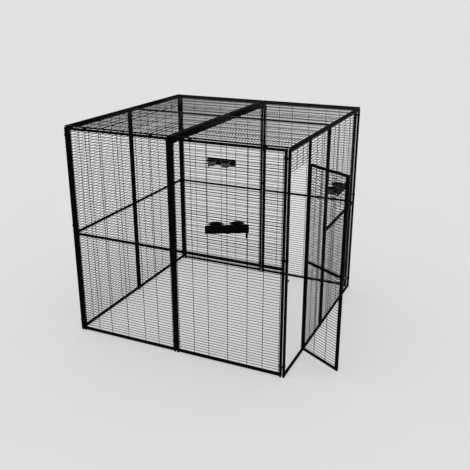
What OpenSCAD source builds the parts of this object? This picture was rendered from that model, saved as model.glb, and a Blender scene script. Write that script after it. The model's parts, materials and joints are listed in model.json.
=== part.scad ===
// Indoor aviary for small birds, built from clamped wire panels.
// Origin: centre of the cage's footprint on the floor, +Z up, front wall towards -Y.

/* [Panels] */
// Width of every wall panel
panel_w = 992; // [932:10:1192]
// Height of every wall panel, without its feet
panel_h = 1923; // [1803:5:2103]
// Side of the square tube that every frame is welded from
tube = 20; // [18:1:25]
// Wall thickness of that tube, seen at its open ends
tube_wall = 1.5; // [1:0.1:2.5]
// Bevel along the edges of the tube
tube_bevel = 1.5; // [0.5:0.1:3]
// Gap between two neighbouring panels, which the clamp bolts pass through
seam_gap = 9; // [7.5:0.5:11]

/* [Grille] */
// Thickness of the grille wires
wire_d = 3.4; // [2.4:0.1:4]
// Spacing of the close wires, counted from the panel's middle rail
wire_step = 25.2; // [22:0.1:32]
// First pair of cross wires, from the panel's centre
cross_near = 180; // [178:1:200]
// Second pair of cross wires, from the panel's centre
cross_far = 320; // [300:5:360]
// Outer cross wire, from the side tube
cross_edge = 10; // [6:1:20]

/* [Roof] */
// Height of the flat tube that the roof frames are welded from
roof_t = 10; // [9:0.5:15]
// Height of the pads that the roof frames lie on
pad_h = 4.5; // [3:0.5:8]
// How far the roof is set back from the front and back walls' faces
roof_set = 10; // [4:1:14]
// Width of the roof beam
beam_w = 50; // [46:1:70]
// Depth of the roof beam
beam_h = 50; // [40:1:70]
// Space between the roof frames along the beam
beam_split = 10; // [8:0.5:14]
// First roof bolt, from the middle of the beam
roof_bolt_near = 190; // [100:5:250]
// Second roof bolt, from the middle of the beam
roof_bolt_far = 360; // [300:5:450]
// Thickness of the sheet in the beam saddles
sheet = 2.5; // [2:0.5:4]
// Length of a roof pad
pad_w = 30; // [20:1:50]

/* [Door] */
// Width of the doorway
doorway_w = 451; // [421:5:481]
// Height of the door leaf
door_h = 1690; // [1400:10:1700]
// Gap at each side of the door leaf
door_gap = 3; // [2.5:0.1:4]
// Gap between the door leaf and the sill
sill_gap = 8; // [4:1:20]
// Gaps between the close wires in the grille above the door
transom_rows = 6; // [3:1:6]
// How far the door stands open
door_open = 60; // [0:1:110]
// Outer radius of the hinge barrels
barrel_r = 4; // [3.5:0.1:6]
// Height of one hinge barrel
barrel_h = 24; // [16:1:40]
// Radius of the hinge pins
hinge_pin_r = 2; // [1.5:0.1:2.5]
// Radius of the latch bolt
latch_r = 4; // [3:0.1:5]
// Travel of the latch bolt
latch_travel = 16; // [10:1:18]

/* [Feeding stations] */
// Close wire under the hatch, counted up from the middle rail
hatch_row = 9; // [6:1:16]
// Height of the hatch in rows
hatch_rows = 3; // [3:1:4]
// Play between the face plate and the wires at its ends
plate_end_gap = 2.1; // [1.5:0.1:7]
// Play above and below the face plate
plate_gap = 1; // [0.5:0.1:2]
// Thickness of the face plate
plate_t = 1.5; // [1:0.1:2]
// Radius of the bowls under their rim
bowl_r = 52; // [40:1:54]
// Depth of the bowls
bowl_depth = 56; // [30:1:60]
// Wall thickness of the bowls
bowl_wall = 1; // [0.8:0.1:2]
// Width of the rim that a bowl hangs by
rim_w = 6; // [4:0.5:7]
// Distance of each bowl's centre from the station's centre
bowl_spread = 85; // [76:1:88]
// Distance of the bowls' centres behind the wires
bowl_reach = 66; // [64:1:70]
// How far the front station is turned in the rest pose
station_turn = 28; // [0:1:60]
// Radius of the pivot studs that a station turns on
stud_r = 2; // [1.5:0.1:2.5]

/* [Clamps and feet] */
// Height of the feet under the wall panels
foot_h = 10; // [6:1:20]
// Length of the plugs in the tube ends
plug_len = 14; // [8:1:25]
// Height of a panel clamp
clamp_h = 20; // [14:0.5:20]
// Sheet thickness of a panel clamp
strap_t = 1.5; // [1:0.1:1.6]
// Radius of the clamp and roof bolts
bolt_r = 3; // [2.5:0.1:3.5]

/* [Hidden] */
$fn = 48;

// Fits shared by several pieces
run_fit = 0.05;
play = 0.3;
plug_fit = 0.1;

// Wires in the depth of a grille
weld_sink = 0.15;
wire_gap = 0.02;
level_y = -wire_d / 2;
cross_y = wire_d / 2 + wire_gap;
spine_y = wire_d / 2 - weld_sink;
weld_d = 1.2;
weld_reach = 0.6;

// Outline of the cage
half_w = tube + panel_w + 1.5 * seam_gap;
half_d = panel_w + seam_gap / 2;
bay_x = (panel_w + seam_gap) / 2;
corner_x = half_w - tube - seam_gap / 2;
wall_top = foot_h + panel_h;

// Wall panel, seen from outside: x along the wall, y inwards, z up
half_t = tube / 2;
stile_x = panel_w / 2 - half_t;
clear_x = panel_w / 2 - tube;
sill_top = foot_h + tube;
middle_z = foot_h + panel_h / 2;
lower_top = middle_z - half_t;
upper_low = middle_z + half_t;
upper_top = wall_top - tube;
rows = floor((upper_top - middle_z - wire_d) / wire_step);
low_levels = [for (i = [rows : -1 : 1]) middle_z - i * wire_step];
high_levels = [for (i = [1 : rows]) middle_z + i * wire_step];
edge_x = clear_x - cross_edge;
cross_wires = [-edge_x, -cross_far, -cross_near, 0, cross_near, cross_far, edge_x];

// Roof panels
roof_seam = 1;
roof_side = 1;
roof_z = wall_top + pad_h;
roof_x0 = beam_split / 2;
roof_x1 = half_w - roof_side;
roof_y0 = roof_seam / 2;
roof_y1 = half_d - roof_set;
roof_w = roof_x1 - roof_x0;
roof_d = roof_y1 - roof_y0;
roof_cx = (roof_x0 + roof_x1) / 2;
roof_cy = (roof_y0 + roof_y1) / 2;
pad_depth = tube - roof_set;
roof_gaps = round((roof_w - 2 * tube) / wire_step);
roof_edge = roof_d / 2 - tube - cross_edge;
roof_cross = [-roof_edge, -cross_far, -cross_near, 0, cross_near, cross_far, roof_edge];
screw_head_h = 2.5;
clamp_plate_lap = 15;
clamp_plate_d = 24;
clamp_plate_t = 2;
bolt_grip = 19;
beam_half_l = half_d - tube - sheet - screw_head_h - 1;
saddle_l = 40;
saddle_rise = 30;

// Doorway and door leaf, in the door panel's own axes
doorway_x0 = -clear_x;
doorway_x1 = doorway_x0 + doorway_w;
jamb_x = doorway_x1 + half_t;
fixed_x0 = doorway_x1 + tube;
transom_z = middle_z + (rows - transom_rows) * wire_step;
leaf_x0 = doorway_x0 + door_gap;
leaf_x1 = doorway_x1 - door_gap;
leaf_z0 = sill_top + sill_gap;
leaf_z1 = leaf_z0 + door_h;
leaf_mid = (leaf_z0 + leaf_z1) / 2;
hinge_x = doorway_x1 - door_gap / 2;
hinge_y = -half_t - barrel_r;
hinge_end = 150;
hinge_mid_up = 60;
hinge_levels = [leaf_z0 + hinge_end, leaf_mid + hinge_mid_up, leaf_z1 - hinge_end];
barrel_wing = 15;
wing_t = 2;
latch_y = -half_t - 8;
latch_len = 56;
latch_plate_h = 18;
latch_plate_t = 2;
latch_set = 1;
latch_nose = 6;
handle_len = 16;
keeper_gap = 4;
keeper_lap = 5;
guide_w = 8;
guide_reach = 13;

// Feeding stations, in the wall panel's own axes
hatch_low = middle_z + hatch_row * wire_step + wire_d / 2;
hatch_high = middle_z + (hatch_row + hatch_rows) * wire_step - wire_d / 2;
plate_x = cross_near - wire_d / 2 - plate_end_gap;
plate_z0 = hatch_low + plate_gap;
plate_z1 = hatch_high - plate_gap;
stud_base_r = 4;
stud_base_h = 3;
plate_back = -stud_base_r - 0.5;
ear_t = 2;
ear_half = 8;
ring_t = 2;
ring_drop = 12;
flange_h = 14;
foot_step = 4;
foot_in = 8;
ring_z = plate_z1 - ring_drop - ring_t;
bowl_h = min(bowl_depth, plate_z1 - plate_z0 - ring_drop - 2);
ring_r = bowl_r + rim_w + 4;
tab_x0 = 150;
tab_w = 15;
tab_drop = 46;
tab_rise = 14;
tab_y = 0.6;

// Panel clamps
seam_half = tube + seam_gap / 2;
clamp_levels = [
    middle_z - (rows - 2.5) * wire_step, middle_z + 3 * wire_step, middle_z + (rows - 1.5) * wire_step
];
lip = 4.5;
slot_h = wire_d + 1.4;
boss_r = 7;
boss_h = 5;
head_r = 5;
head_h = 4.5;

black = [0.06, 0.06, 0.06];
plastic = [0.1, 0.1, 0.1];
gloss = [0.12, 0.12, 0.12];
zinc = [0.75, 0.75, 0.73];
screw_black = [0.16, 0.16, 0.16];

// Places a wall panel: turn 0 is the front wall, 90 the right, 180 the back, 270 the left
module on_wall(turn, bay) {
    depth = turn % 180 == 0 ? half_d : half_w;
    rotate([0, 0, turn])
        translate([bay * bay_x, half_t - depth, 0])
            children();
}

// Square tube
module tube_profile(w = tube, h = tube) {
    x = w / 2;
    y = h / 2;
    u = x - tube_bevel;
    v = y - tube_bevel;
    polygon([[u, -y], [x, -v], [x, v], [u, y], [-u, y], [-x, v], [-x, -v], [-u, -y]]);
}

module upright(x, z0, z1) {
    translate([x, 0, z0])
        linear_extrude(z1 - z0)
            tube_profile();
}

module rail(x0, x1, z) {
    translate([x0, 0, z])
        rotate([90, 0, 90])
            linear_extrude(x1 - x0)
                tube_profile();
}

// Open end of a stile, where a foot or a cap is plugged in
module tube_end(x, z) {
    side = tube - 2 * tube_wall;
    translate([x - side / 2, -side / 2, z])
        cube([side, side, plug_len + 1]);
}

module stiles() {
    difference() {
        for (side = [-1, 1])
            upright(side * stile_x, foot_h, wall_top);
        for (side = [-1, 1]) {
            tube_end(side * stile_x, foot_h - 1);
            tube_end(side * stile_x, wall_top - plug_len);
        }
    }
}

module wall_frame() {
    stiles();
    rail(-clear_x, clear_x, foot_h + half_t);
    rail(-clear_x, clear_x, middle_z);
    rail(-clear_x, clear_x, wall_top - half_t);
}

module doorway_frame() {
    stiles();
    rail(-clear_x, clear_x, foot_h + half_t);
    rail(fixed_x0, clear_x, middle_z);
    rail(-clear_x, clear_x, wall_top - half_t);
    upright(jamb_x, sill_top, upper_top);
}

// Grille wires: round level wires outside, round cross wires behind them.
// One cross wire, the spine, is sunk a little into every level wire, as its welds are.
// The others pass a hair behind the level wires and are welded to the first and last of them.
module wire(length) {
    cylinder(h = length, d = wire_d);
}

module level_wire(x0, x1, z) {
    translate([x0, level_y, z])
        rotate([90, 0, 90])
            wire(x1 - x0);
}

module cross_wire(x, z0, z1, spine = false) {
    translate([x, spine ? spine_y : cross_y, z0])
        wire(z1 - z0);
}

module weld(x, z) {
    translate([x, -weld_reach, z])
        rotate([-90, 0, 0])
            cylinder(h = 2 * weld_reach, d = weld_d);
}

module mesh(x0, x1, z0, z1, levels, crosses) {
    last = len(crosses) - 1;
    for (z = levels)
        level_wire(x0, x1, z);
    cross_wire(crosses[last], z0, z1, true);
    for (k = [0 : last - 1]) {
        cross_wire(crosses[k], z0, z1);
        weld(crosses[k], levels[0]);
        weld(crosses[k], levels[len(levels) - 1]);
    }
}

module hatch_mesh() {
    side = cross_near - wire_d / 2;
    for (i = [1 : rows]) {
        z = middle_z + i * wire_step;
        if (i > hatch_row && i < hatch_row + hatch_rows) {
            level_wire(-clear_x, -side, z);
            level_wire(side, clear_x, z);
            weld(-cross_near, z);
        } else {
            level_wire(-clear_x, clear_x, z);
        }
    }
    cross_wire(edge_x, upper_low, upper_top, true);
    for (x = [-edge_x, -cross_far, -cross_near, cross_near, cross_far]) {
        cross_wire(x, upper_low, upper_top);
        weld(x, high_levels[0]);
        weld(x, high_levels[rows - 1]);
    }
    cross_wire(0, upper_low, hatch_low);
    weld(0, high_levels[0]);
    cross_wire(0, hatch_high, upper_top);
    weld(0, high_levels[rows - 1]);
}

module wall_grille(hatch = false) {
    mesh(-clear_x, clear_x, sill_top, lower_top, low_levels, cross_wires);
    if (hatch)
        hatch_mesh();
    else
        mesh(-clear_x, clear_x, upper_low, upper_top, high_levels, cross_wires);
}

module doorway_grille() {
    fixed = [fixed_x0 + cross_edge, cross_near, cross_far, edge_x];
    over = [-edge_x, -cross_far, -cross_near, doorway_x1 - cross_edge];
    over_levels = [for (i = [0 : transom_rows]) transom_z + i * wire_step];
    mesh(fixed_x0, clear_x, sill_top, lower_top, low_levels, fixed);
    mesh(fixed_x0, clear_x, upper_low, upper_top, high_levels, fixed);
    mesh(doorway_x0, doorway_x1, transom_z - wire_d / 2, upper_top, over_levels, over);
}

// Roof
module roof_at(sx, sy) {
    translate([sx * roof_cx, sy * roof_cy, roof_z + roof_t / 2])
        children();
}

module roof_frame() {
    for (side = [-1, 1]) {
        translate([side * (roof_w / 2 - half_t), -roof_d / 2, 0])
            rotate([-90, 0, 0])
                linear_extrude(roof_d)
                    tube_profile(tube, roof_t);
        translate([tube - roof_w / 2, side * (roof_d / 2 - half_t), 0])
            rotate([90, 0, 90])
                linear_extrude(roof_w - 2 * tube)
                    tube_profile(tube, roof_t);
    }
}

// The same mesh lies in the roof, with its close wires on top
module roof_grille() {
    clear_w = roof_w - 2 * tube;
    clear_d = roof_d - 2 * tube;
    step = clear_w / roof_gaps;
    levels = [for (i = [1 : roof_gaps - 1]) i * step - clear_w / 2];
    rotate([-90, 0, 90])
        mesh(-clear_d / 2, clear_d / 2, -clear_w / 2, clear_w / 2, levels, roof_cross);
}

module roof_bolt_places() {
    for (y = [-roof_bolt_far, -roof_bolt_near, roof_bolt_near, roof_bolt_far])
        translate([0, y, 0])
            children();
}

module roof_beam() {
    color(black)
        difference() {
            translate([0, beam_half_l, roof_z - beam_h / 2])
                rotate([90, 0, 0])
                    linear_extrude(2 * beam_half_l)
                        tube_profile(beam_w, beam_h);
            roof_bolt_places()
                translate([0, 0, roof_z - bolt_grip - 1])
                    cylinder(h = bolt_grip + 2, r = bolt_r + run_fit);
        }
}

// Saddle at each end of the beam, screwed to the middle stiles behind the beam's end
module saddle_screw_places() {
    for (turn = [0, 180])
        for (side = [-1, 1])
            rotate([0, 0, turn])
                translate([side * (half_t + seam_gap / 2), half_d - tube, roof_z - beam_h / 2])
                    rotate([90, 0, 0])
                        children();
}

module beam_saddle() {
    x = beam_w / 2 + run_fit;
    wall_y = half_d - tube;
    low = roof_z - beam_h;
    translate([-x - sheet, wall_y - sheet, low - sheet])
        cube([2 * (x + sheet), sheet, beam_h]);
    translate([-x - sheet, wall_y - saddle_l, low - sheet])
        cube([2 * (x + sheet), saddle_l, sheet]);
    for (side = [-1, 1])
        translate([side * (x + sheet / 2) - sheet / 2, wall_y - saddle_l, low - sheet])
            cube([sheet, saddle_l, saddle_rise]);
}

module beam_saddles() {
    color(black)
        difference() {
            for (turn = [0, 180])
                rotate([0, 0, turn])
                    beam_saddle();
            saddle_screw_places()
                translate([0, 0, -1])
                    cylinder(h = sheet + 2, r = bolt_r + run_fit);
        }
}

module saddle_screws() {
    color(screw_black)
        saddle_screw_places() {
            cylinder(h = sheet, r = bolt_r);
            translate([0, 0, sheet])
                cylinder(h = screw_head_h, r = head_r);
        }
}

// Pads on the walls' top rails, under the roof frames
module roof_pads() {
    color(plastic)
        for (turn = [0, 90, 180, 270])
            for (bay = [-1, 1])
                for (side = [-1, 1])
                    on_wall(turn, bay)
                        translate([side * cross_far - pad_w / 2, half_t - pad_depth, wall_top])
                            cube([pad_w, pad_depth, pad_h]);
}

module roof_clamp_plates() {
    plate_w = beam_split + 2 * clamp_plate_lap;
    color(black)
        roof_bolt_places()
            difference() {
                translate([-plate_w / 2, -clamp_plate_d / 2, roof_z + roof_t])
                    cube([plate_w, clamp_plate_d, clamp_plate_t]);
                translate([0, 0, roof_z])
                    cylinder(h = roof_t + clamp_plate_t + 1, r = bolt_r + run_fit);
            }
}

module domed_head() {
    cylinder(h = head_h * 0.6, r = head_r);
    translate([0, 0, head_h * 0.6])
        cylinder(h = head_h * 0.4, r1 = head_r, r2 = head_r * 0.7);
}

module roof_bolts() {
    color(screw_black)
        roof_bolt_places() {
            translate([0, 0, roof_z - bolt_grip])
                cylinder(h = bolt_grip + roof_t + clamp_plate_t, r = bolt_r);
            translate([0, 0, roof_z + roof_t + clamp_plate_t])
                domed_head();
        }
}

// Door
module on_door_panel() {
    on_wall(90, -1)
        children();
}

// Turns what is drawn in the closed position to where the leaf stands
module with_leaf() {
    on_door_panel()
        translate([hinge_x, hinge_y, 0])
            rotate([0, 0, door_open])
                translate([-hinge_x, -hinge_y, 0])
                    children();
}

module door_frame() {
    color(black)
        with_leaf() {
            upright(leaf_x0 + half_t, leaf_z0, leaf_z1);
            upright(leaf_x1 - half_t, leaf_z0, leaf_z1);
            for (z = [leaf_z0 + half_t, leaf_mid, leaf_z1 - half_t])
                rail(leaf_x0 + tube, leaf_x1 - tube, z);
        }
}

module door_grille() {
    low = leaf_z0 + tube;
    high = leaf_z1 - tube;
    count = floor((leaf_mid - low - wire_d) / wire_step);
    below = [for (i = [count : -1 : 1]) leaf_mid - i * wire_step];
    above = [for (i = [1 : count]) leaf_mid + i * wire_step];
    x0 = leaf_x0 + tube;
    x1 = leaf_x1 - tube;
    crosses = [x0 + cross_edge, -cross_far, -cross_near, x1 - cross_edge];
    color(black)
        with_leaf() {
            mesh(x0, x1, low, leaf_mid - half_t, below, crosses);
            mesh(x0, x1, leaf_mid + half_t, high, above, crosses);
        }
}

// One half of a hinge: a barrel with a wing welded to the tube's face
module barrel(side) {
    difference() {
        union() {
            translate([hinge_x, hinge_y, 0])
                cylinder(h = barrel_h, r = barrel_r);
            translate([hinge_x + (side < 0 ? -barrel_wing : 0), -half_t - wing_t, 0])
                cube([barrel_wing, wing_t, barrel_h]);
        }
        translate([hinge_x, hinge_y, -1])
            cylinder(h = barrel_h + 2, r = hinge_pin_r + run_fit);
    }
}

module hinge_fixed_barrels() {
    color(black)
        on_door_panel()
            for (z = hinge_levels)
                translate([0, 0, z - barrel_h])
                    barrel(1);
}

module hinge_door_barrels() {
    color(black)
        with_leaf()
            for (z = hinge_levels)
                translate([0, 0, z + play])
                    barrel(-1);
}

module hinge_pins() {
    color(zinc)
        on_door_panel()
            for (z = hinge_levels)
                translate([hinge_x, hinge_y, z - barrel_h]) {
                    cylinder(h = 2 * barrel_h - 2, r = hinge_pin_r);
                    translate([0, 0, -2])
                        cylinder(h = 2, r = hinge_pin_r + 1);
                }
}

// Sliding latch on the door's middle rail
module latch_guide(x, y_reach) {
    difference() {
        translate([x, -half_t - y_reach, -guide_w])
            cube([guide_w, y_reach, 2 * guide_w]);
        translate([x - 1, latch_y, 0])
            rotate([0, 90, 0])
                cylinder(h = guide_w + 2, r = latch_r + run_fit);
    }
}

module latch_housing() {
    color(black)
        with_leaf()
            translate([0, 0, leaf_mid]) {
                translate([leaf_x0 + latch_set, -half_t - latch_plate_t, -latch_plate_h / 2])
                    cube([latch_len, latch_plate_t, latch_plate_h]);
                latch_guide(leaf_x0 + latch_set, guide_reach);
                latch_guide(leaf_x0 + latch_set + latch_len - guide_w, guide_reach);
            }
}

module latch_bolt() {
    color(zinc)
        with_leaf()
            translate([leaf_x0 + latch_set, latch_y, leaf_mid]) {
                rotate([0, 90, 0])
                    cylinder(h = latch_len + latch_nose, r = latch_r);
                translate([guide_w + latch_travel + latch_nose, 0, 0])
                    rotate([90, 0, 0])
                        cylinder(h = handle_len, r = latch_r - 0.5);
            }
}

module latch_keeper() {
    keeper_x = doorway_x0 - keeper_gap - guide_w;
    keeper_w = guide_w + keeper_gap + keeper_lap - 2;
    color(black)
        on_door_panel()
            translate([0, 0, leaf_mid]) {
                difference() {
                    union() {
                        translate([keeper_x - keeper_lap, -half_t - latch_plate_t, -latch_plate_h / 2])
                            cube([keeper_w, latch_plate_t, latch_plate_h]);
                        translate([keeper_x, -half_t - guide_reach, -guide_w])
                            cube([guide_w, guide_reach, 2 * guide_w]);
                    }
                    translate([keeper_x - 1, latch_y, 0])
                        rotate([0, 90, 0])
                            cylinder(h = guide_w + 2, r = latch_r + play);
                }
            }
}

// Feeding stations
module front_station() {
    on_wall(0, 1)
        rotate([0, 0, station_turn])
            children();
}

module back_station() {
    on_wall(180, 1)
        children();
}

module side_station() {
    on_wall(90, 1)
        children();
}

// Fixed studs on the hatch's lower and upper wires
module feeder_studs() {
    reach = stud_base_h + play + ear_t + 1.5;
    translate([0, 0, hatch_low]) {
        cylinder(h = stud_base_h, r = stud_base_r);
        cylinder(h = reach, r = stud_r);
    }
    translate([0, 0, hatch_high - stud_base_h])
        cylinder(h = stud_base_h, r = stud_base_r);
    translate([0, 0, hatch_high - reach])
        cylinder(h = reach, r = stud_r);
}

// Ear folded back from the face plate, turning on a stud
module plate_ear(z) {
    difference() {
        translate([-ear_half, plate_back - plate_t, z])
            cube([2 * ear_half, ear_half - plate_back + plate_t - 2, ear_t]);
        translate([0, 0, z - 1])
            cylinder(h = ear_t + 2, r = stud_r + run_fit);
    }
}

module feeder_plate() {
    ear_low = hatch_low + stud_base_h + play;
    ear_high = hatch_high - stud_base_h - play - ear_t;
    translate([-plate_x, plate_back - plate_t, plate_z0])
        cube([2 * plate_x, plate_t, plate_z1 - plate_z0]);
    plate_ear(ear_low);
    plate_ear(ear_high);
    translate([tab_x0, plate_back - plate_t, plate_z0 + 2])
        cube([tab_w, tab_y + plate_t - plate_back + plate_t, tab_rise - 2]);
    translate([tab_x0, tab_y, plate_z0 - tab_drop])
        cube([tab_w, plate_t, tab_drop + tab_rise]);
}

// Two rings in one sheet with a flange behind the face plate
module feeder_carrier() {
    flange_x = tab_x0 - 2;
    difference() {
        translate([0, 0, ring_z])
            linear_extrude(ring_t)
                difference() {
                    union() {
                        translate([-flange_x, plate_back])
                            square([2 * flange_x, bowl_reach - ring_r + 12 - plate_back]);
                        for (side = [-1, 1])
                            translate([side * bowl_spread, bowl_reach])
                                circle(ring_r);
                    }
                    for (side = [-1, 1])
                        translate([side * bowl_spread, bowl_reach])
                            circle(bowl_r + 0.5);
                }
        translate([-ear_half - 1, plate_back - 1, ring_z - 1])
            cube([2 * ear_half + 2, 1 - plate_back + stud_base_r + 2, ring_t + 2]);
    }
    for (side = [-1, 1])
        translate([side < 0 ? -flange_x : ear_half + 1, plate_back, ring_z - flange_h])
            cube([flange_x - ear_half - 1, ring_t, flange_h + ring_t]);
}

module bowl(side) {
    foot_r = bowl_r - foot_in;
    rim_r = bowl_r + rim_w;
    translate([side * bowl_spread, bowl_reach, ring_z + ring_t - bowl_h])
        rotate_extrude()
            polygon([
                [0, 0], [foot_r - foot_step, 0], [foot_r, foot_step], [bowl_r, bowl_h],
                [rim_r, bowl_h], [rim_r, bowl_h + bowl_wall], [bowl_r - bowl_wall, bowl_h + bowl_wall],
                [foot_r - bowl_wall, foot_step], [foot_r - foot_step, bowl_wall], [0, bowl_wall]
            ]);
}

// Clamp round two neighbouring stiles, at a seam whose centre is x = 0
module clamp_places() {
    for (z = clamp_levels) {
        for (turn = [0, 90, 180, 270])
            on_wall(turn, 0)
                translate([0, 0, z])
                    children();
        for (turn = [0, 180])
            for (side = [-1, 1])
                on_wall(turn, 0)
                    translate([side * corner_x, 0, z])
                        children();
    }
}

module panel_clamp() {
    inner = seam_half + 0.2;
    outer = inner + strap_t;
    back = half_t + 0.2;
    difference() {
        translate([-outer, -half_t - strap_t, -clamp_h / 2])
            cube([2 * outer, tube + 2 * strap_t + 0.2, clamp_h]);
        translate([-inner, -half_t, -clamp_h])
            cube([2 * inner, tube + 0.2, 2 * clamp_h]);
        translate([lip - inner, 0, -clamp_h])
            cube([2 * (inner - lip), tube, 2 * clamp_h]);
        translate([-outer - 1, -wire_d - 1, -slot_h / 2])
            cube([2 * outer + 2, back + strap_t + wire_d + 2, slot_h]);
        rotate([90, 0, 0])
            cylinder(h = tube, r = bolt_r + run_fit);
    }
    translate([0, -half_t - strap_t, 0])
        rotate([90, 0, 0])
            difference() {
                cylinder(h = boss_h, r = boss_r);
                translate([0, 0, -1])
                    cylinder(h = boss_h + 2, r = bolt_r + run_fit);
            }
}

module panel_clamps() {
    color(black)
        clamp_places()
            panel_clamp();
}

module clamp_bolts() {
    color(screw_black)
        clamp_places() {
            translate([0, -half_t, 0])
                rotate([90, 0, 0])
                    cylinder(h = strap_t + boss_h + 1, r = bolt_r);
            translate([0, -half_t - strap_t - boss_h, 0])
                rotate([90, 0, 0])
                    domed_head();
        }
}

// Feet and caps plugged into the open tube ends
module stile_places() {
    for (turn = [0, 90, 180, 270])
        for (bay = [-1, 1])
            for (side = [-1, 1])
                on_wall(turn, bay)
                    translate([side * stile_x, 0, 0])
                        children();
}

module plug(z) {
    side = tube - 2 * (tube_wall + plug_fit);
    translate([-side / 2, -side / 2, z])
        cube([side, side, plug_len - 1]);
}

module feet() {
    color(plastic)
        stile_places() {
            cylinder(h = foot_h, r = half_t - 0.5);
            plug(foot_h);
        }
}

module tube_caps() {
    color(plastic)
        stile_places() {
            translate([0, 0, wall_top])
                linear_extrude(1.5)
                    tube_profile();
            plug(wall_top - plug_len + 1);
        }
}

color(black) on_wall(0, -1) wall_frame();  // front_left_frame
color(black) on_wall(0, 1) wall_frame();  // front_right_frame
color(black) on_wall(180, 1) wall_frame();  // back_left_frame
color(black) on_wall(180, -1) wall_frame();  // back_right_frame
color(black) on_wall(270, 1) wall_frame();  // left_front_frame
color(black) on_wall(270, -1) wall_frame();  // left_rear_frame
color(black) on_wall(90, 1) wall_frame();  // right_rear_frame
color(black) on_door_panel() doorway_frame();  // door_panel_frame
color(black) on_wall(0, -1) wall_grille();  // front_left_grille
color(black) on_wall(0, 1) wall_grille(true);  // front_right_grille
color(black) on_wall(180, 1) wall_grille(true);  // back_left_grille
color(black) on_wall(180, -1) wall_grille();  // back_right_grille
color(black) on_wall(270, 1) wall_grille();  // left_front_grille
color(black) on_wall(270, -1) wall_grille();  // left_rear_grille
color(black) on_wall(90, 1) wall_grille(true);  // right_rear_grille
color(black) on_door_panel() doorway_grille();  // door_panel_grille
color(black) roof_at(-1, -1) roof_frame();  // roof_front_left_frame
color(black) roof_at(1, -1) roof_frame();  // roof_front_right_frame
color(black) roof_at(-1, 1) roof_frame();  // roof_rear_left_frame
color(black) roof_at(1, 1) roof_frame();  // roof_rear_right_frame
color(black) roof_at(-1, -1) roof_grille();  // roof_front_left_grille
color(black) roof_at(1, -1) roof_grille();  // roof_front_right_grille
color(black) roof_at(-1, 1) roof_grille();  // roof_rear_left_grille
color(black) roof_at(1, 1) roof_grille();  // roof_rear_right_grille
roof_beam();
beam_saddles();
saddle_screws();
roof_pads();
roof_clamp_plates();
roof_bolts();
door_frame();
door_grille();
hinge_fixed_barrels();
hinge_door_barrels();
hinge_pins();
latch_housing();
latch_bolt();
latch_keeper();
color(black) front_station() feeder_plate();  // front_feeder_plate
color(plastic) front_station() feeder_carrier();  // front_feeder_carrier
color(zinc) front_station() feeder_studs();  // front_feeder_studs
color(gloss) front_station() bowl(-1);  // front_bowl_left
color(gloss) front_station() bowl(1);  // front_bowl_right
color(black) back_station() feeder_plate();  // back_feeder_plate
color(plastic) back_station() feeder_carrier();  // back_feeder_carrier
color(zinc) back_station() feeder_studs();  // back_feeder_studs
color(gloss) back_station() bowl(-1);  // back_bowl_left
color(gloss) back_station() bowl(1);  // back_bowl_right
color(black) side_station() feeder_plate();  // side_feeder_plate
color(plastic) side_station() feeder_carrier();  // side_feeder_carrier
color(zinc) side_station() feeder_studs();  // side_feeder_studs
color(gloss) side_station() bowl(-1);  // side_bowl_left
color(gloss) side_station() bowl(1);  // side_bowl_right
panel_clamps();
clamp_bolts();
feet();
tube_caps();
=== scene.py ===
import json
import math

import bmesh
import bpy
from mathutils import Matrix, Vector

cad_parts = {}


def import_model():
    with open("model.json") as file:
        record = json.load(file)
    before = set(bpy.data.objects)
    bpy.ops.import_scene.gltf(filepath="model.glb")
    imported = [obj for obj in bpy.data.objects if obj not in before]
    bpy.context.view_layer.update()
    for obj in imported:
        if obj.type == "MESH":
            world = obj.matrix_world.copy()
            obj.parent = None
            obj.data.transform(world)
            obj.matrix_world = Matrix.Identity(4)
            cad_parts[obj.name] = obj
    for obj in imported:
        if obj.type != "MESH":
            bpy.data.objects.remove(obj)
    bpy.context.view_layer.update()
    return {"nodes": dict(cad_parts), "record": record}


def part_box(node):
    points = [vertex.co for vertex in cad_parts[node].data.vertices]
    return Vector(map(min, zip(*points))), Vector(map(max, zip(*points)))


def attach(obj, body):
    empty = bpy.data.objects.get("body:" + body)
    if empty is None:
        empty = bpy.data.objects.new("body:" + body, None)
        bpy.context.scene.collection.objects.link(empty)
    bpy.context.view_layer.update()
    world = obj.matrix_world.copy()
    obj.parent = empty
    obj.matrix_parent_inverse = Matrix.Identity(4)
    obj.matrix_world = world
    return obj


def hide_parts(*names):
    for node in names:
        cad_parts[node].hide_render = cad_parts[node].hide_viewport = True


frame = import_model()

# Sizes shared with the CAD model, in metres
TUBE = 0.020
WIRE = 0.0034
WIRE_STEP = 0.0252
WELD = 0.0003
CROSS_NEAR = 0.180
CROSS_FAR = 0.320
CROSS_EDGE = 0.010
FOOT = 0.010
SEAM = 0.009
DOOR_GAP = 0.003

# Wire rows, counted upwards from the middle rail or downwards from the top rail
HATCH_ROW = 9
HATCH_ROWS = 3
TRANSOM_ROWS = 6

# Sizes of the visible surface only, in metres
WIRE_COATED = 0.0048
WIRE_SET_OUT = 0.0004
TUBE_BEVEL = 0.0015
WIRE_SIDES = 10

# Profile of the bowls, in metres
BOWL_RIM = 0.006
BOWL_TAPER = 0.014
BOWL_WALL = 0.0009
BOWL_ROLL = 0.0011
BOWL_NECK = 0.0012
BOWL_HEEL = 0.006
BOWL_HEEL_INSIDE = 0.0054
BOWL_FOOT_RING = 0.008
BOWL_BASE = 0.010
BOWL_HOLLOW = 0.0016
BOWL_FLOOR = 0.0030
BOWL_STEPS = 96
ARC_STEPS = 8

# Camera that took the photograph
IMAGE = 470
FOCAL_PX = 660.78
CENTRE_PX = (235.0, 234.5)
CAMERA_AT = (2.6226, -5.4737, 3.0244)
CAMERA_YAW = -24.565
CAMERA_PITCH = -20.274
SENSOR = 36.0
SIGHT = 200.0

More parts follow.
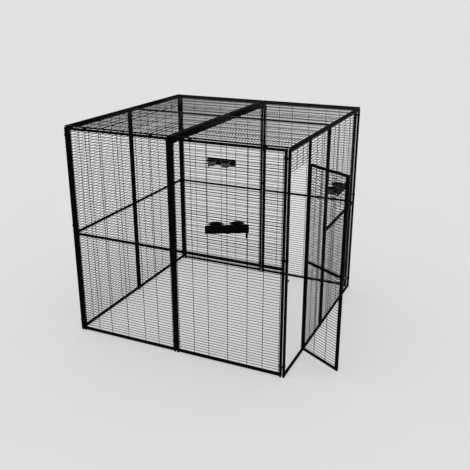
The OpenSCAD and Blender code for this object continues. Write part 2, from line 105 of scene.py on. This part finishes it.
# Light levels and the floor
BACKDROP = 0.757
SKY = 1.0
FLOOR_ALBEDO = 0.757
FLOOR_CLOUD = 0.004
FLOOR_HALF = 60.0
SHADOW_SHARE = 0.45

record = frame["record"]
joints = {j["name"]: j for j in record["behaviour"]["joints"]}


# Materials
def new_material(name):
    material = bpy.data.materials.new(name)
    material.use_nodes = True
    tree = material.node_tree
    tree.nodes.clear()
    out = tree.nodes.new("ShaderNodeOutputMaterial")
    shader = tree.nodes.new("ShaderNodeBsdfPrincipled")
    tree.links.new(shader.outputs["BSDF"], out.inputs["Surface"])
    return material, tree, shader


def noise(tree, scale, detail, roughness=0.5, stretch=None):
    """Noise on the object's own coordinates, stretched along an axis where stretch is given."""
    coords = tree.nodes.new("ShaderNodeTexCoord")
    node = tree.nodes.new("ShaderNodeTexNoise")
    node.inputs["Scale"].default_value = scale
    node.inputs["Detail"].default_value = detail
    node.inputs["Roughness"].default_value = roughness
    place = coords.outputs["Object"]
    if stretch:
        mapping = tree.nodes.new("ShaderNodeMapping")
        mapping.inputs["Scale"].default_value = stretch
        tree.links.new(place, mapping.inputs["Vector"])
        place = mapping.outputs["Vector"]
    tree.links.new(place, node.inputs["Vector"])
    return node.outputs["Fac"]


def vary_roughness(tree, shader, value, low, high):
    """Roughness between low and high, following the middle range of a noise value."""
    node = tree.nodes.new("ShaderNodeMapRange")
    node.inputs["From Min"].default_value = 0.3
    node.inputs["From Max"].default_value = 0.7
    node.inputs["To Min"].default_value = low
    node.inputs["To Max"].default_value = high
    tree.links.new(value, node.inputs["Value"])
    tree.links.new(node.outputs["Result"], shader.inputs["Roughness"])


def vary_colour(tree, shader, value, first, second):
    """Base colour that blends from first to second over the middle range of a noise value."""
    ramp = tree.nodes.new("ShaderNodeValToRGB")
    ramp.color_ramp.elements[0].position = 0.35
    ramp.color_ramp.elements[0].color = (*first, 1)
    ramp.color_ramp.elements[1].position = 0.65
    ramp.color_ramp.elements[1].color = (*second, 1)
    tree.links.new(value, ramp.inputs["Fac"])
    tree.links.new(ramp.outputs["Color"], shader.inputs["Base Color"])


def bump(tree, shader, height, distance, strength):
    node = tree.nodes.new("ShaderNodeBump")
    node.inputs["Strength"].default_value = strength
    node.inputs["Distance"].default_value = distance
    tree.links.new(height, node.inputs["Height"])
    tree.links.new(node.outputs["Normal"], shader.inputs["Normal"])


def coat_material(name, dark, light, ior, grain):
    """Satin black powder coat: fine orange peel and faint cloudiness."""
    material, tree, shader = new_material(name)
    cloud = noise(tree, scale=14.0, detail=5.0, roughness=0.6)
    peel = noise(tree, scale=grain, detail=2.0)
    vary_colour(tree, shader, cloud, dark, light)
    vary_roughness(tree, shader, cloud, 0.34, 0.46)
    shader.inputs["IOR"].default_value = ior
    bump(tree, shader, peel, distance=0.00006, strength=0.6)
    return material


def plastic_material():
    """Dull black moulded plastic with a fine grain."""
    material, tree, shader = new_material("moulded_plastic")
    cloud = noise(tree, scale=40.0, detail=4.0)
    grain = noise(tree, scale=1800.0, detail=2.0)
    vary_colour(tree, shader, cloud, (0.0035, 0.0035, 0.0037), (0.006, 0.006, 0.0062))
    vary_roughness(tree, shader, grain, 0.45, 0.6)
    shader.inputs["IOR"].default_value = 1.12
    bump(tree, shader, grain, distance=0.00005, strength=0.5)
    return material


def bowl_material(name, ior, rough):
    """Black plastic of the bowls, with faint scuffs from washing."""
    material, tree, shader = new_material(name)
    cloud = noise(tree, scale=30.0, detail=4.0)
    scuffs = noise(tree, scale=260.0, detail=3.0, roughness=0.6, stretch=(1, 1, 7))
    vary_colour(tree, shader, cloud, (0.004, 0.004, 0.0042), (0.007, 0.007, 0.0072))
    vary_roughness(tree, shader, scuffs, rough - 0.07, rough + 0.07)
    shader.inputs["IOR"].default_value = ior
    bump(tree, shader, scuffs, distance=0.00002, strength=0.3)
    return material


def steel_material(name, colour, shade, rough):
    """Bare metal with fine turning marks and faint water marks."""
    material, tree, shader = new_material(name)
    marks = noise(tree, scale=60.0, detail=4.0, roughness=0.6)
    lines = noise(tree, scale=900.0, detail=2.0)
    vary_colour(tree, shader, marks, shade, colour)
    vary_roughness(tree, shader, lines, rough - 0.06, rough + 0.08)
    shader.inputs["Metallic"].default_value = 1.0
    bump(tree, shader, lines, distance=0.00003, strength=0.5)
    return material


frame_coat = coat_material(
    "frame_coat", dark=(0.0026, 0.0026, 0.0027), light=(0.0034, 0.0034, 0.0035),
    ior=1.04, grain=900.0
)
wire_coat = coat_material(
    "wire_coat", dark=(0.0028, 0.0028, 0.0029), light=(0.0038, 0.0038, 0.0039),
    ior=1.05, grain=1400.0
)
# Lit and shaded copies of one bowl plastic: the outside's high IOR strengthens its reflection, a
# painted reflection; the inside's low IOR dims it, painted shade.
bowl_plastic = bowl_material("bowl_plastic", ior=2.1, rough=0.24)
bowl_inside_painted_shade = bowl_material("bowl_inside_painted_shade", ior=1.06, rough=0.55)
MATERIALS = {
    "frame_coat": frame_coat,
    "wire_coat": wire_coat,
    "plastic": plastic_material(),
    "bowl_plastic": bowl_plastic,
    "zinc": steel_material("bright_zinc", (0.62, 0.62, 0.60), (0.48, 0.48, 0.47), 0.28),
    "black_screws": steel_material(
        "black_screws", (0.010, 0.010, 0.010), (0.006, 0.006, 0.006), 0.40
    ),
}
slots = {part["node"]: part["material_slot"] for part in record["subparts"]}


def dress_cad_nodes():
    for name, node in frame["nodes"].items():
        for slot in node.material_slots:
            slot.material = MATERIALS[slots[name]]


# Mesh building
def mesh_object(name, points, faces, material, smooth=True):
    """A mesh object; where smooth, its four-sided faces are shaded smooth."""
    mesh = bpy.data.meshes.new(name)
    mesh.from_pydata(points, [], faces)
    mesh.materials.append(material)
    if smooth:
        mesh.polygons.foreach_set("use_smooth", [len(face) == 4 for face in faces])
    mesh.update()
    thing = bpy.data.objects.new(name, mesh)
    bpy.context.scene.collection.objects.link(thing)
    return thing


def add_bar(points, faces, start, end, ring):
    """A closed bar from start to end; ring holds its section's corners as offsets."""
    base, count = len(points), len(ring)
    points += [start + corner for corner in ring] + [end + corner for corner in ring]
    for i in range(count):
        j = (i + 1) % count
        faces.append((base + i, base + j, base + count + j, base + count + i))
    faces.append(tuple(base + i for i in reversed(range(count))))
    faces.append(tuple(base + count + i for i in range(count)))


def add_wire(points, faces, start, end):
    """A round wire from start to end."""
    start, end = Vector(start), Vector(end)
    along = (end - start).normalized()
    across = along.orthogonal().normalized()
    up = along.cross(across)
    turns = [2 * math.pi * i / WIRE_SIDES for i in range(WIRE_SIDES)]
    ring = [
        WIRE_COATED / 2 * (math.cos(turn) * across + math.sin(turn) * up) for turn in turns
    ]
    add_bar(points, faces, start, end, ring)


def add_tube(points, faces, start, end, side):
    """A square tube with bevelled edges from start to end; side is one of its flat directions."""
    start, end, side = Vector(start), Vector(end), Vector(side)
    other = (end - start).normalized().cross(side)
    flat = TUBE / 2 - TUBE_BEVEL
    ring = []
    for ahead, left in ((side, other), (other, -side), (-side, -other), (-other, side)):
        ring += [ahead * TUBE / 2 - left * flat, ahead * TUBE / 2 + left * flat]
    add_bar(points, faces, start, end, ring)


class Grid:
    """Collects the wires of one grille in its panel's own axes: x along, y inwards, z up.

    The visible wires are thicker than the solids' by their coat. They are set outwards a
    little, so that the feeding stations' stop tabs stay clear of them.
    """

    def __init__(self):
        self.points = []
        self.faces = []

    def level(self, x0, x1, z):
        y = (WELD - WIRE) / 2 - WIRE_SET_OUT
        add_wire(self.points, self.faces, (x0, y, z), (x1, y, z))

    def cross(self, x, z0, z1):
        y = (WIRE - WELD) / 2 - WIRE_SET_OUT
        add_wire(self.points, self.faces, (x, y, z0), (x, y, z1))

    def window(self, x0, x1, z0, z1, levels, crosses):
        for z in levels:
            self.level(x0, x1, z)
        for x in crosses:
            self.cross(x, z0, z1)

    def make(self, name, place, node, body):
        thing = mesh_object(name, [place @ p for p in self.points], self.faces, wire_coat)
        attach(thing, body)
        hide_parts(node)


# Places taken from the CAD frame
half_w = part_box("door_panel_frame")[1][0]
half_d = -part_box("front_left_frame")[0][1]
wall_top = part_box("front_left_frame")[1][2]
panel_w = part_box("front_left_frame")[1][0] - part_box("front_left_frame")[0][0]
bay_x = (panel_w + SEAM) / 2
clear_x = panel_w / 2 - TUBE
edge_x = clear_x - CROSS_EDGE
sill_top = FOOT + TUBE
middle_z = (FOOT + wall_top) / 2
lower_top = middle_z - TUBE / 2
upper_low = middle_z + TUBE / 2
upper_top = wall_top - TUBE
rows = math.floor((upper_top - middle_z - WIRE) / WIRE_STEP)
low_levels = [middle_z - i * WIRE_STEP for i in range(rows, 0, -1)]
high_levels = [middle_z + i * WIRE_STEP for i in range(1, rows + 1)]
CROSSES = [-edge_x, -CROSS_FAR, -CROSS_NEAR, 0.0, CROSS_NEAR, CROSS_FAR, edge_x]


# Walls
def on_wall(turn, bay):
    """Places a panel's own axes on the wall that faces turn degrees from the front."""
    depth = half_d if turn % 180 == 0 else half_w
    spin = Matrix.Rotation(math.radians(turn), 4, "Z")
    return spin @ Matrix.Translation((bay * bay_x, TUBE / 2 - depth, 0))


def hatch_window(grid):
    """The upper window of a panel with a feeding hatch between its two near upright wires."""
    side = CROSS_NEAR - WIRE / 2
    low = middle_z + HATCH_ROW * WIRE_STEP
    high = middle_z + (HATCH_ROW + HATCH_ROWS) * WIRE_STEP
    for i, z in enumerate(high_levels, start=1):
        if HATCH_ROW < i < HATCH_ROW + HATCH_ROWS:
            grid.level(-clear_x, -side, z)
            grid.level(side, clear_x, z)
        else:
            grid.level(-clear_x, clear_x, z)
    for x in CROSSES:
        if x:
            grid.cross(x, upper_low, upper_top)
    grid.cross(0.0, upper_low, low + WIRE / 2)
    grid.cross(0.0, high - WIRE / 2, upper_top)


def wall_grilles():
    panels = {
        "front_left": (0, -1, False),
        "front_right": (0, 1, True),
        "back_left": (180, 1, True),
        "back_right": (180, -1, False),
        "left_front": (270, 1, False),
        "left_rear": (270, -1, False),
        "right_rear": (90, 1, True),
    }
    for name, (turn, bay, hatch) in panels.items():
        grid = Grid()
        grid.window(-clear_x, clear_x, sill_top, lower_top, low_levels, CROSSES)
        if hatch:
            hatch_window(grid)
        else:
            grid.window(-clear_x, clear_x, upper_low, upper_top, high_levels, CROSSES)
        grid.make(name + "_wires", on_wall(turn, bay), name + "_grille", "cage")


# Door and the panel it hangs in
door_joint = joints["door_hinge"]
hinge_at = Vector(door_joint["pos_m"])
door_turn = -math.radians(door_joint["range_deg"][0])
door_panel = on_wall(90, -1)
doorway_x0 = -clear_x
doorway_x1 = (door_panel.inverted() @ hinge_at).x + DOOR_GAP / 2


def door_panel_frame():
    """The door panel's tubes: two stiles, the doorway's jamb and two rails."""
    points, faces = [], []
    stile = panel_w / 2 - TUBE / 2
    jamb = doorway_x1 + TUBE / 2
    uprights = (
        (-stile, FOOT, wall_top), (stile, FOOT, wall_top), (jamb, sill_top, upper_top)
    )
    for x, low, high in uprights:
        add_tube(points, faces, (x, 0, low), (x, 0, high), (1, 0, 0))
    for z in (sill_top - TUBE / 2, upper_top + TUBE / 2):
        add_tube(points, faces, (-clear_x, 0, z), (clear_x, 0, z), (0, 1, 0))
    placed = [door_panel @ p for p in points]
    thing = mesh_object("door_panel_tubes", placed, faces, frame_coat, smooth=False)
    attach(thing, "cage")
    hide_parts("door_panel_frame")


def door_panel_grille():
    """Mesh in the fixed strip beside the doorway and in the transom over it."""
    grid = Grid()
    strip_x0 = doorway_x1 + TUBE
    strip = [strip_x0 + CROSS_EDGE, CROSS_NEAR, CROSS_FAR, edge_x]
    strip_levels = low_levels + [middle_z] + high_levels
    grid.window(strip_x0, clear_x, sill_top, upper_top, strip_levels, strip)
    over = [-edge_x, -CROSS_FAR, -CROSS_NEAR, doorway_x1 - CROSS_EDGE]
    over_levels = high_levels[rows - TRANSOM_ROWS - 1:]
    over_low = over_levels[0] - WIRE / 2
    grid.window(doorway_x0, doorway_x1, over_low, upper_top, over_levels, over)
    grid.make("door_panel_wires", door_panel, "door_panel_grille", "cage")


def door_grille():
    """Mesh of the door, turned with it to the pose at rest."""
    low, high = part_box("door_frame")[0][2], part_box("door_frame")[1][2]
    middle = (low + high) / 2
    count = math.floor((middle - low - TUBE - WIRE) / WIRE_STEP)
    below = [middle - i * WIRE_STEP for i in range(count, 0, -1)]
    above = [middle + i * WIRE_STEP for i in range(1, count + 1)]
    x0 = doorway_x0 + DOOR_GAP + TUBE
    x1 = doorway_x1 - DOOR_GAP - TUBE
    crosses = [x0 + CROSS_EDGE, -CROSS_FAR, -CROSS_NEAR, x1 - CROSS_EDGE]
    grid = Grid()
    grid.window(x0, x1, low + TUBE, middle - TUBE / 2, below, crosses)
    grid.window(x0, x1, middle + TUBE / 2, high - TUBE, above, crosses)
    spin = Matrix.Rotation(door_turn, 4, "Z")
    turn = Matrix.Translation(hinge_at) @ spin @ Matrix.Translation(-hinge_at)
    grid.make("door_wires", turn @ door_panel, "door_grille", "door")


# Roof
def roof_grilles():
    top, under = (WIRE - WELD) / 2, (WELD - WIRE) / 2
    for name in ("front_left", "front_right", "rear_left", "rear_right"):
        low, high = (Vector(corner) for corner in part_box(f"roof_{name}_frame"))
        centre, size = (low + high) / 2, high - low
        wide, deep = size.x - 2 * TUBE, size.y - 2 * TUBE
        gaps = round(wide / WIRE_STEP)
        edge = deep / 2 - CROSS_EDGE
        points, faces = [], []
        for i in range(1, gaps):
            x = i * wide / gaps - wide / 2
            add_wire(points, faces, (x, -deep / 2, top), (x, deep / 2, top))
        for y in (-edge, -CROSS_FAR, -CROSS_NEAR, 0, CROSS_NEAR, CROSS_FAR, edge):
            add_wire(points, faces, (-wide / 2, y, under), (wide / 2, y, under))
        placed = [p + centre for p in points]
        thing = mesh_object(f"roof_{name}_wires", placed, faces, wire_coat)
        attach(thing, "cage")
        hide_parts(f"roof_{name}_grille")


# Bowls
def lathe(name, profile, centre, material):
    """A closed body turned about the upright axis through centre, from (radius, height) pairs."""
    points, faces = [], []
    count = len(profile)
    for i in range(BOWL_STEPS):
        turn = 2 * math.pi * i / BOWL_STEPS
        for r, z in profile:
            x, y = centre[0] + r * math.cos(turn), centre[1] + r * math.sin(turn)
            points.append((x, y, centre[2] + z))
    for i in range(BOWL_STEPS):
        here, there = i * count, (i + 1) % BOWL_STEPS * count
        for k in range(count - 1):
            faces.append((here + k, there + k, there + k + 1, here + k + 1))
    thing = mesh_object(name, points, faces, material)
    merge_points(thing)
    return thing


def merge_points(thing):
    work = bmesh.new()
    work.from_mesh(thing.data)
    bmesh.ops.remove_doubles(work, verts=work.verts, dist=1e-6)
    bmesh.ops.recalc_face_normals(work, faces=work.faces)
    work.to_mesh(thing.data)
    work.free()


def arc(cx, cz, radius, start, end):
    """Profile points on an arc from start to end, in degrees."""
    turns = [math.radians(start + (end - start) * i / ARC_STEPS) for i in range(ARC_STEPS + 1)]
    return [(cx + radius * math.cos(turn), cz + radius * math.sin(turn)) for turn in turns]


def bowl_profile(rim, depth):
    """The bowl's section from the middle underneath, over the rim, to the middle inside."""
    body, foot = rim - BOWL_RIM, rim - BOWL_TAPER
    heel = foot - BOWL_HEEL
    outside = [(0, BOWL_HOLLOW), (foot - BOWL_BASE, BOWL_HOLLOW), (foot - BOWL_FOOT_RING, 0)]
    outside += arc(heel, BOWL_HEEL, BOWL_HEEL, -90, -10)
    outside += [(body - 0.0006, depth - BOWL_RIM), (body, depth - 0.0016)]
    outside += arc(rim - BOWL_ROLL, depth - BOWL_ROLL, BOWL_ROLL, -90, 90)
    inner = body - BOWL_WALL
    inside = [(inner + BOWL_NECK, depth), (inner, depth - 0.0014), (foot + 0.0003, 0.007)]
    inside += arc(heel, 0.0069, BOWL_HEEL_INSIDE, 0, -90)
    inside += [(foot - BOWL_BASE, BOWL_FLOOR), (0, BOWL_FLOOR)]
    return outside + inside


def shade_bowl_inside(thing, centre, top):
    """Gives the faces inside a bowl, below its rolled rim, the copy of the bowl plastic that
    reflects almost nothing: painted shade.
    """
    thing.data.materials.append(bowl_inside_painted_shade)
    rim_band, upwards = 0.001, 0.7
    for face in thing.data.polygons:
        outwards = face.center - Vector((centre[0], centre[1], face.center.z))
        faces_in = face.normal.dot(outwards) < 0 or face.normal.z > upwards
        face.material_index = 1 if faces_in and face.center.z < top - rim_band else 0


def bowls():
    for station in ("front", "back", "side"):
        for side in ("left", "right"):
            node = f"{station}_bowl_{side}"
            low, high = (Vector(corner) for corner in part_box(node))
            centre = ((low.x + high.x) / 2, (low.y + high.y) / 2, low.z)
            profile = bowl_profile((high.y - low.y) / 2, high.z - low.z)
            thing = lathe(f"{node}_spun", profile, centre, bowl_plastic)
            # Painted shade inside the bowl, below its rim.
            shade_bowl_inside(thing, centre, high.z)
            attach(thing, node)
            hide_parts(node)


# Stage, light and camera
def seen_rays(tree):
    """1 for rays that show the background, straight or reflected, and 0 for those that light."""
    path = tree.nodes.new("ShaderNodeLightPath")
    first = tree.nodes.new("ShaderNodeMath")
    second = tree.nodes.new("ShaderNodeMath")
    first.operation = second.operation = "MAXIMUM"
    tree.links.new(path.outputs["Is Camera Ray"], first.inputs[0])
    tree.links.new(path.outputs["Is Glossy Ray"], first.inputs[1])
    tree.links.new(first.outputs[0], second.inputs[0])
    tree.links.new(path.outputs["Is Transmission Ray"], second.inputs[1])
    return second.outputs[0]


def floor():
    """A pale floor, seen partly in its own light, so that the shadow on it stays soft."""
    material, tree, shader = new_material("studio_floor")
    cloud = noise(tree, scale=1.3, detail=3.0)
    low, high = FLOOR_ALBEDO * (1 - FLOOR_CLOUD), FLOOR_ALBEDO * (1 + FLOOR_CLOUD)
    vary_colour(tree, shader, cloud, (low, low, low), (high, high, high))
    shader.inputs["Roughness"].default_value = 1.0
    shader.inputs["Specular IOR Level"].default_value = 0.0
    out = tree.nodes["Material Output"]
    glow = tree.nodes.new("ShaderNodeEmission")
    glow.inputs["Color"].default_value = (FLOOR_ALBEDO, FLOOR_ALBEDO, FLOOR_ALBEDO, 1)
    share = tree.nodes.new("ShaderNodeMath")
    share.operation = "MULTIPLY"
    share.inputs[1].default_value = 1 - SHADOW_SHARE
    tree.links.new(seen_rays(tree), share.inputs[0])
    mix = tree.nodes.new("ShaderNodeMixShader")
    tree.links.new(share.outputs[0], mix.inputs["Fac"])
    tree.links.new(shader.outputs["BSDF"], mix.inputs[1])
    tree.links.new(glow.outputs["Emission"], mix.inputs[2])
    tree.links.new(mix.outputs["Shader"], out.inputs["Surface"])
    half = FLOOR_HALF
    corners = [(-half, -half, 0), (half, -half, 0), (half, half, 0), (-half, half, 0)]
    mesh_object("studio_floor", corners, [(0, 1, 2, 3)], material)


def world():
    """An even studio light, with the backdrop's own level where it is seen."""
    sky = bpy.data.worlds.new("studio")
    bpy.context.scene.world = sky
    sky.use_nodes = True
    tree = sky.node_tree
    tree.nodes.clear()
    out = tree.nodes.new("ShaderNodeOutputWorld")
    light = tree.nodes.new("ShaderNodeBackground")
    light.inputs["Color"].default_value = (1, 1, 1, 1)
    light.inputs["Strength"].default_value = SKY
    seen = tree.nodes.new("ShaderNodeBackground")
    seen.inputs["Color"].default_value = (BACKDROP, BACKDROP, BACKDROP, 1)
    mix = tree.nodes.new("ShaderNodeMixShader")
    tree.links.new(seen_rays(tree), mix.inputs["Fac"])
    tree.links.new(light.outputs["Background"], mix.inputs[1])
    tree.links.new(seen.outputs["Background"], mix.inputs[2])
    tree.links.new(mix.outputs["Shader"], out.inputs["Surface"])


def camera():
    data = bpy.data.cameras.new("camera")
    data.sensor_width = SENSOR
    data.lens = FOCAL_PX / IMAGE * data.sensor_width
    data.shift_x = (IMAGE / 2 - CENTRE_PX[0]) / IMAGE
    data.shift_y = (CENTRE_PX[1] - IMAGE / 2) / IMAGE
    data.clip_end = SIGHT
    thing = bpy.data.objects.new("camera", data)
    bpy.context.scene.collection.objects.link(thing)
    thing.location = CAMERA_AT
    thing.rotation_euler = (math.radians(90 + CAMERA_PITCH), 0, -math.radians(CAMERA_YAW))
    bpy.context.scene.camera = thing


dress_cad_nodes()
wall_grilles()
door_panel_frame()
door_panel_grille()
door_grille()
roof_grilles()
bowls()
floor()
world()
camera()
bpy.context.scene.view_settings.view_transform = "Standard"
